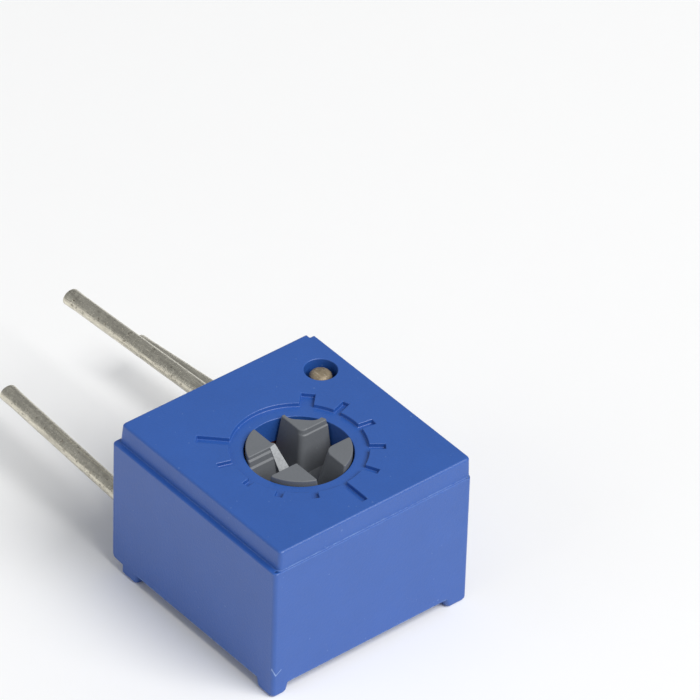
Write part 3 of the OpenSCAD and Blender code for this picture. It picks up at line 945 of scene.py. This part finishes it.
def flare(rings, tip, length_mm=0.42, spread=0.10, pinch=0.05):
    """Spreads the last rings as cutters leave them: wider one way and thinner the other."""
    for ring in rings:
        middle = centre(ring)
        part = smooth_step(length_mm - (tip - middle).length, 0.0, length_mm)
        stretch = Vector((1 + spread * part, 1.0, 1 - pinch * part))
        ring[:] = [middle + (point - middle) * stretch for point in ring]


def swell(rings, length_mm=0.34, spread=0.28):
    """Widens the first rings, where solder has gathered on the wire's upright end."""
    top = centre(rings[0])
    for ring in rings:
        middle = centre(ring)
        part = smooth_step(length_mm - (top - middle).length, 0.0, length_mm * 0.7)
        ring[:] = [middle + (point - middle) * (1 + spread * part) for point in ring]


def end_cap(rings, way, edge, bulge, steps=3):
    """Closes a wire with a rounded rim and a slightly domed end. The new rings are returned."""
    last = rings[-1]
    middle = centre(last)
    made = []
    for i in range(1, steps + 1):
        a = math.radians(90 * i / steps)
        shrink = 1 - edge * (1 - math.cos(a))
        made.append([middle + (p - middle) * shrink + way * bulge * math.sin(a) for p in last])
    made.append([middle + (p - middle) * (1 - edge) * 0.5 + way * bulge * CAP_PEAK for p in last])
    return made


def lead_mesh(points, s, domed):
    """One lead as a closed wire. A domed one has a swollen, rounded inner end."""
    rings = wire_rings(points, s.radius)
    way_out = (points[-1] - points[-2]).normalized()
    way_back = (points[0] - points[1]).normalized()
    flare(rings, points[-1])
    rim, bulge = 0.14, 0.02
    if domed:
        swell(rings)
        start = end_cap(rings[::-1], way_back, 0.82, DOME_RISE, 6)[::-1]
    else:
        start = end_cap(rings[::-1], way_back, rim, bulge)[::-1]
    return loft(start + rings + end_cap(rings, way_out, rim, bulge))


def lead_tip(name, x, y, z, s):
    """Where a lead's free end stops, after leaning sideways and upwards by its two angles."""
    side, rise = (math.radians(a) for a in LEANS[name])
    way = Vector((math.cos(rise) * math.sin(side), math.cos(rise) * math.cos(side), math.sin(rise)))
    return Vector((x, y, z)) + way * (s.free_length - CAP_ROOM)


def mark_ends(lead, tip, way, tarnish_from):
    """Gives the cut end's faces the second material, and any tarnished tip the third."""
    facing, near = 0.6, 0.35
    for face in lead.data.polygons:
        if face.normal.dot(way) > facing and (face.center - tip).length < near:
            face.material_index = 1
        elif tarnish_from is not None and face.center.z > tarnish_from:
            face.material_index = 2


def build_leads(s, case, finishes):
    exit_y = box_mm("housing")[1].y
    riser = exit_y - case.lead_wall + s.wall_offset
    joint_top = box_mm("element")[1].z + SOLDER_RISE
    for name, x, z in lead_places(s):
        domed = name == "lead_right"
        top = box_mm(name)[1].z if domed else joint_top
        inner_z = z if x else z - s.pitch
        corners = [(x, RISER_Y, top), (x, RISER_Y, inner_z)]
        radii = [s.bend]
        if not x:
            corners += [(x, riser, inner_z), (x, riser, z)]
            radii += [s.bend, s.bend]
        corners += [(x, exit_y, z), lead_tip(name, x, exit_y, z, s)]
        radii += [s.knee]
        points = rounded_path(corners, radii)
        if domed:
            points[0].z -= DOME_RISE * CAP_PEAK - DOME_LIFT
        lead = lead_mesh(points, s, domed)
        for finish in finishes:
            lead.data.materials.append(finish)
        way = (points[-1] - points[-2]).normalized()
        mark_ends(lead, points[-1], way, top - TARNISHED if domed else None)
        for face in lead.data.polygons:
            face.use_smooth = True
        finish_piece(lead, name + "_wire", finishes[0], "case", name)


# ---- Back seal ----

def seal_height(x, y, s):
    """How far the resin's back surface stands in (+) or out (-) at a place."""
    ripple = s.ripple * noise.noise(Vector((x * 0.8, y * 0.8, 3.0)))
    from_swells = ((x - swell_x) ** 2 + (y - 1.9) ** 2 for swell_x in (-0.9, 1.1))
    swells = -0.035 * sum(math.exp(-square / 0.28) for square in from_swells)
    crescent_x, crescent_y, crescent_r = 1.75, -2.05, 0.62
    away = math.hypot(x - crescent_x, y - crescent_y)
    dent = 0.07 * (1 - smooth_step(away, crescent_r - 0.10, crescent_r))
    dent *= smooth_step(x - crescent_x, -0.5, 0.4)
    line = abs((y + 1.35) - 0.16 * (x - 1.2))
    ridge = -0.018 * (1 - smooth_step(line, 0.0, 0.05)) * smooth_step(x, -0.4, 0.4)
    rim = 0.05 * math.exp(-min(2.95 - abs(x), y + 2.78, 3.0 - y) / 0.18)
    return ripple + swells + dent + ridge - rim


def resin_block(s, low, high_x, high_y, face, top):
    """The resin behind the element, with its uneven back surface."""
    columns, rows = 84, 82
    bm = bmesh.new()
    grid = [[bm.verts.new((x, y, face + seal_height(x, y, s)))
             for x in (low.x + (high_x - low.x) * i / columns for i in range(columns + 1))]
            for y in (low.y + (high_y - low.y) * j / rows for j in range(rows + 1))]
    for j in range(rows):
        for i in range(columns):
            bm.faces.new((grid[j][i], grid[j][i + 1], grid[j + 1][i + 1], grid[j + 1][i]))
    rim = (grid[0][:-1] + [row[-1] for row in grid[:-1]] + grid[-1][:0:-1] + [row[0] for row in grid[:0:-1]])
    upper = [bm.verts.new((v.co.x, v.co.y, top)) for v in rim]
    for i in range(len(rim)):
        j = (i + 1) % len(rim)
        bm.faces.new((rim[j], rim[i], upper[i], upper[j]))
    bm.faces.new(upper)
    return object_from(bm)


def build_seal(s, case, leads, material):
    low, high = box_mm("back_seal")
    face_y = box_mm("housing")[1].y
    face = case.foot_height + s.sink
    pocket_back = face_y - case.lead_wall
    seal = resin_block(s, low, high.x, pocket_back, face, box_mm("element")[0].z)
    half = leads.radius + s.slot_side
    for _, x, z in lead_places(leads):
        slot = slot_outline(x, half, face + 0.10, z)
        join(seal, [prism(slot, pocket_back - 2 * OVERLAP, face_y - s.face_sink, axis="Y")])
    lead_z = lead_places(leads)[0][2]
    reach = half + OVERLAP
    cut(seal, [block((x - reach, face_y - PANEL_SINK, lead_z), (x + reach, face_y + PAST, lead_z + 2 * PAST))
               for x in (-leads.pitch, leads.pitch)])
    for polygon in seal.data.polygons:
        polygon.use_smooth = polygon.normal.z < -0.7
    finish_piece(seal, "back_seal_resin", material, "case", "back_seal")


# ---- Inner pieces ----

def paint_nodes(nodes, material):
    """Gives a finish to CAD pieces whose shape already serves."""
    for name in nodes.split():
        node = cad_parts[name]
        node.data.materials.clear()
        node.data.materials.append(material)


# For each finish: its nodes, its builder and the values that the builder takes after the name.
INNER_FINISHES = {
    "fired_ceramic": ("element", moulded_plastic,
                      (0.80, 0.78, 0.73), 0.06, 0.25, (0.45, 0.42, 0.38), 0.72, 0.004),
    "cermet_film": ("resistor_track", moulded_plastic,
                    (0.022, 0.022, 0.025), 0.35, 0.5, (0.10, 0.10, 0.11), 0.30, 0.003),
    "silver_film": ("collector_track end_pad_left end_pad_right", plated_metal,
                    (0.62, 0.60, 0.57), (0.25, 0.22, 0.18), 0.3, 0.42, 0.004),
    "solder_metal": ("solder_left solder_middle solder_right", plated_metal,
                     (0.60, 0.60, 0.58), (0.28, 0.27, 0.25), 0.3, 0.30, 0.008),
    "spring_strip": ("wiper", plated_metal,
                     (0.66, 0.54, 0.30), (0.30, 0.20, 0.10), 0.25, 0.28, 0.003),
    "seal_rubber": ("seal_ring", moulded_plastic,
                    (0.19, 0.020, 0.012), 0.20, 0.15, (0.30, 0.10, 0.08), 0.66, 0.004),
}


# ---- Stage ----

def direction(azimuth, elevation):
    """Way out from the part, for angles in degrees. Azimuth 0 is straight out from the front face."""
    az, el = math.radians(azimuth), math.radians(elevation)
    return Vector((math.sin(az) * math.cos(el), -math.cos(az) * math.cos(el), math.sin(el)))


def camera_axes(s):
    """The camera's right, up and back directions."""
    roll = math.radians(s.roll)
    back = direction(s.azimuth, s.elevation)
    right = (-back).cross(Vector((0, 0, 1))).normalized()
    up = right.cross(-back)
    return (right * math.cos(roll) + up * math.sin(roll), up * math.cos(roll) - right * math.sin(roll), back)


def add_camera(s):
    """The camera, aimed past the part so that it sits low and left."""
    right, up, back = camera_axes(s)
    aim = Vector((5.678, 4.727, 2.44))
    camera = bpy.data.objects.new("camera", bpy.data.cameras.new("camera"))
    camera.data.lens = s.lens
    camera.data.sensor_width = 36.0
    camera.data.clip_start = 0.005
    matrix = Matrix((right, up, back)).transposed().to_4x4()
    matrix.translation = (aim + back * s.distance) * MM
    camera.matrix_world = matrix
    bpy.context.scene.collection.objects.link(camera)
    bpy.context.scene.camera = camera


def add_light(name, azimuth, elevation, distance, size, power, tint=(1.0, 1.0, 1.0)):
    """A square soft light that faces the part. Its distance and size are in millimetres."""
    out = direction(azimuth, elevation)
    lamp = bpy.data.lights.new(name, "AREA")
    lamp.shape = "SQUARE"
    lamp.size = size * MM
    lamp.energy = power
    lamp.color = tint
    light = bpy.data.objects.new(name, lamp)
    light.location = (Vector((0, 0.3, 2.0)) + out * distance) * MM
    light.rotation_euler = out.to_track_quat("Z", "Y").to_euler()
    bpy.context.scene.collection.objects.link(light)


def add_floor(s):
    """A pale, faintly uneven floor under the feet."""
    bm = bmesh.new()
    bmesh.ops.create_grid(bm, x_segments=8, y_segments=8, size=s.floor_size * MM / 2)
    floor = object_from(bm, "floor")
    material, tree, shader = new_material("studio_floor")
    surface = place_group(tree, "Moulded Surface", Colour=rgba(s.floor_colour), Mottle=0.01, Specks=0.0,
                          Roughness=0.85)
    tree.links.new(surface.outputs["Colour"], shader.inputs["Base Color"])
    tree.links.new(surface.outputs["Roughness"], shader.inputs["Roughness"])
    floor.data.materials.append(material)
    floor.location.z = -0.002 * MM


def add_world():
    world = bpy.data.worlds.new("studio")
    world.use_nodes = True
    sky = world.node_tree.nodes["Background"]
    sky.inputs["Color"].default_value = (0.93, 0.96, 1.0, 1.0)
    sky.inputs["Strength"].default_value = 0.34
    bpy.context.scene.world = world


# ---- Operators ----

class TRIMMER_OT_case(bpy.types.Operator):
    """Build the moulded case with its scale, feet and lead face"""
    bl_idname = "trimmer.case"
    bl_label = "Case"

    def execute(self, context):
        s = in_mm(context.scene.trimmer_case)
        # The lighter edge colour is partly rubbed wear and partly a painted highlight.
        blue = moulded_plastic("case_plastic", s.colour, mottle=0.14, specks=0.30,
                               speck_colour=(0.18, 0.29, 0.56), roughness=0.40, bump=0.009, specular=0.72,
                               edge=1.0, edge_colour=(0.17, 0.30, 0.60), edge_width=0.07, edge_reach=2.95)
        scratch = ((-3.36, 1.03), (-3.25, 0.76), (-3.07, 0.89))
        add_scratch(blue, scratch, width=0.022, colour=(0.32, 0.45, 0.72))
        build_case(s, in_mm(context.scene.trimmer_leads), blue)
        return {"FINISHED"}


class TRIMMER_OT_adjuster(bpy.types.Operator):
    """Build the rotor with its cross slot and notched lobe"""
    bl_idname = "trimmer.adjuster"
    bl_label = "Adjuster"

    def execute(self, context):
        s = in_mm(context.scene.trimmer_adjuster)
        # The lighter edge colour is partly rubbed wear and partly a painted highlight.
        grey = moulded_plastic("rotor_plastic", s.colour, mottle=0.14, specks=0.25,
                               speck_colour=(0.40, 0.40, 0.39), roughness=0.50, bump=0.006,
                               edge=0.35, edge_colour=(0.34, 0.34, 0.34))
        # The worn facet's light grey and bright specks are partly wear and partly a painted highlight.
        worn = moulded_plastic("worn_facet", s.worn_colour, mottle=0.6, specks=1.0,
                               speck_colour=(0.75, 0.76, 0.78), roughness=0.24, bump=0.02, specular=1.0)
        build_adjuster(s, grey, worn)
        return {"FINISHED"}


class TRIMMER_OT_leads(bpy.types.Operator):
    """Build the three tinned wire leads"""
    bl_idname = "trimmer.leads"
    bl_label = "Leads"

    def execute(self, context):
        s = in_mm(context.scene.trimmer_leads)
        finishes = [
            plated_metal("tinned_wire", s.colour, (0.13, 0.105, 0.07), 0.85, 0.24, 0.009, metallic=0.95),
            plated_metal("cut_wire_end", s.cut_colour, (0.14, 0.10, 0.06), 0.5, 0.45, 0.012, metallic=0.5),
            plated_metal("tarnished_tip", s.tarnish, (0.08, 0.06, 0.03), 0.7, 0.50, 0.012, metallic=0.3)]
        build_leads(s, in_mm(context.scene.trimmer_case), finishes)
        return {"FINISHED"}


class TRIMMER_OT_back_seal(bpy.types.Operator):
    """Build the cast resin behind the element and round the leads"""
    bl_idname = "trimmer.back_seal"
    bl_label = "Back seal"

    def execute(self, context):
        s = in_mm(context.scene.trimmer_seal)
        resin = moulded_plastic("seal_resin", s.colour, 0.16, 0.20, (0.05, 0.22, 0.60), 0.34, 0.005)
        build_seal(s, in_mm(context.scene.trimmer_case), in_mm(context.scene.trimmer_leads), resin)
        return {"FINISHED"}


class TRIMMER_OT_inner_parts(bpy.types.Operator):
    """Finish the ceramic element, its films, the solder, the wiper and the seal ring"""
    bl_idname = "trimmer.inner_parts"
    bl_label = "Inner parts"

    def execute(self, context):
        for name, (nodes, build, *look) in INNER_FINISHES.items():
            paint_nodes(nodes, build(name, *look))
        return {"FINISHED"}


class TRIMMER_OT_stage(bpy.types.Operator):
    """Set out the floor, the lights and the camera"""
    bl_idname = "trimmer.stage"
    bl_label = "Stage"

    def execute(self, context):
        s = in_mm(context.scene.trimmer_stage)
        add_floor(s)
        add_world()
        add_light("key_light", azimuth=15, elevation=50, distance=500, size=340, power=2.49,
                  tint=(1.0, 0.99, 0.97))
        add_light("left_light", azimuth=-100, elevation=28, distance=400, size=250, power=0.16)
        add_camera(s)
        context.scene.view_settings.view_transform = "Standard"
        return {"FINISHED"}


class TRIMMER_PT_sidebar(bpy.types.Panel):
    """Lists the builders and their settings"""
    bl_idname = "TRIMMER_PT_sidebar"
    bl_label = "Trimmer"
    bl_space_type = "VIEW_3D"
    bl_region_type = "UI"
    bl_category = "Trimmer"

    def draw(self, context):
        for operator in OPERATORS:
            self.layout.operator(operator.bl_idname)
        for name in SETTINGS:
            group = getattr(context.scene, name)
            column = self.layout.column(heading=name.replace("_", " ").title())
            for prop in group.bl_rna.properties:
                if prop.identifier not in {"rna_type", "name"}:
                    column.prop(group, prop.identifier)


SETTINGS = {
    "trimmer_case": CaseSettings,
    "trimmer_adjuster": AdjusterSettings,
    "trimmer_leads": LeadSettings,
    "trimmer_seal": SealSettings,
    "trimmer_stage": StageSettings,
}
OPERATORS = (TRIMMER_OT_case, TRIMMER_OT_adjuster, TRIMMER_OT_leads, TRIMMER_OT_back_seal,
             TRIMMER_OT_inner_parts, TRIMMER_OT_stage)
CLASSES = (*SETTINGS.values(), *OPERATORS, TRIMMER_PT_sidebar)


def register():
    for cls in CLASSES:
        bpy.utils.register_class(cls)
    for name, group in SETTINGS.items():
        setattr(bpy.types.Scene, name, PointerProperty(type=group))


def unregister():
    for name in SETTINGS:
        delattr(bpy.types.Scene, name)
    for cls in reversed(CLASSES):
        bpy.utils.unregister_class(cls)


def corners(bounds):
    return [[float(value) for value in corner] for corner in bounds]


def main():
    register()
    bpy.ops.trimmer.case()
    bpy.ops.trimmer.adjuster()
    bpy.ops.trimmer.leads()
    bpy.ops.trimmer.back_seal()
    bpy.ops.trimmer.inner_parts()
    bpy.ops.trimmer.stage()


if __name__ == "__main__":
    main()
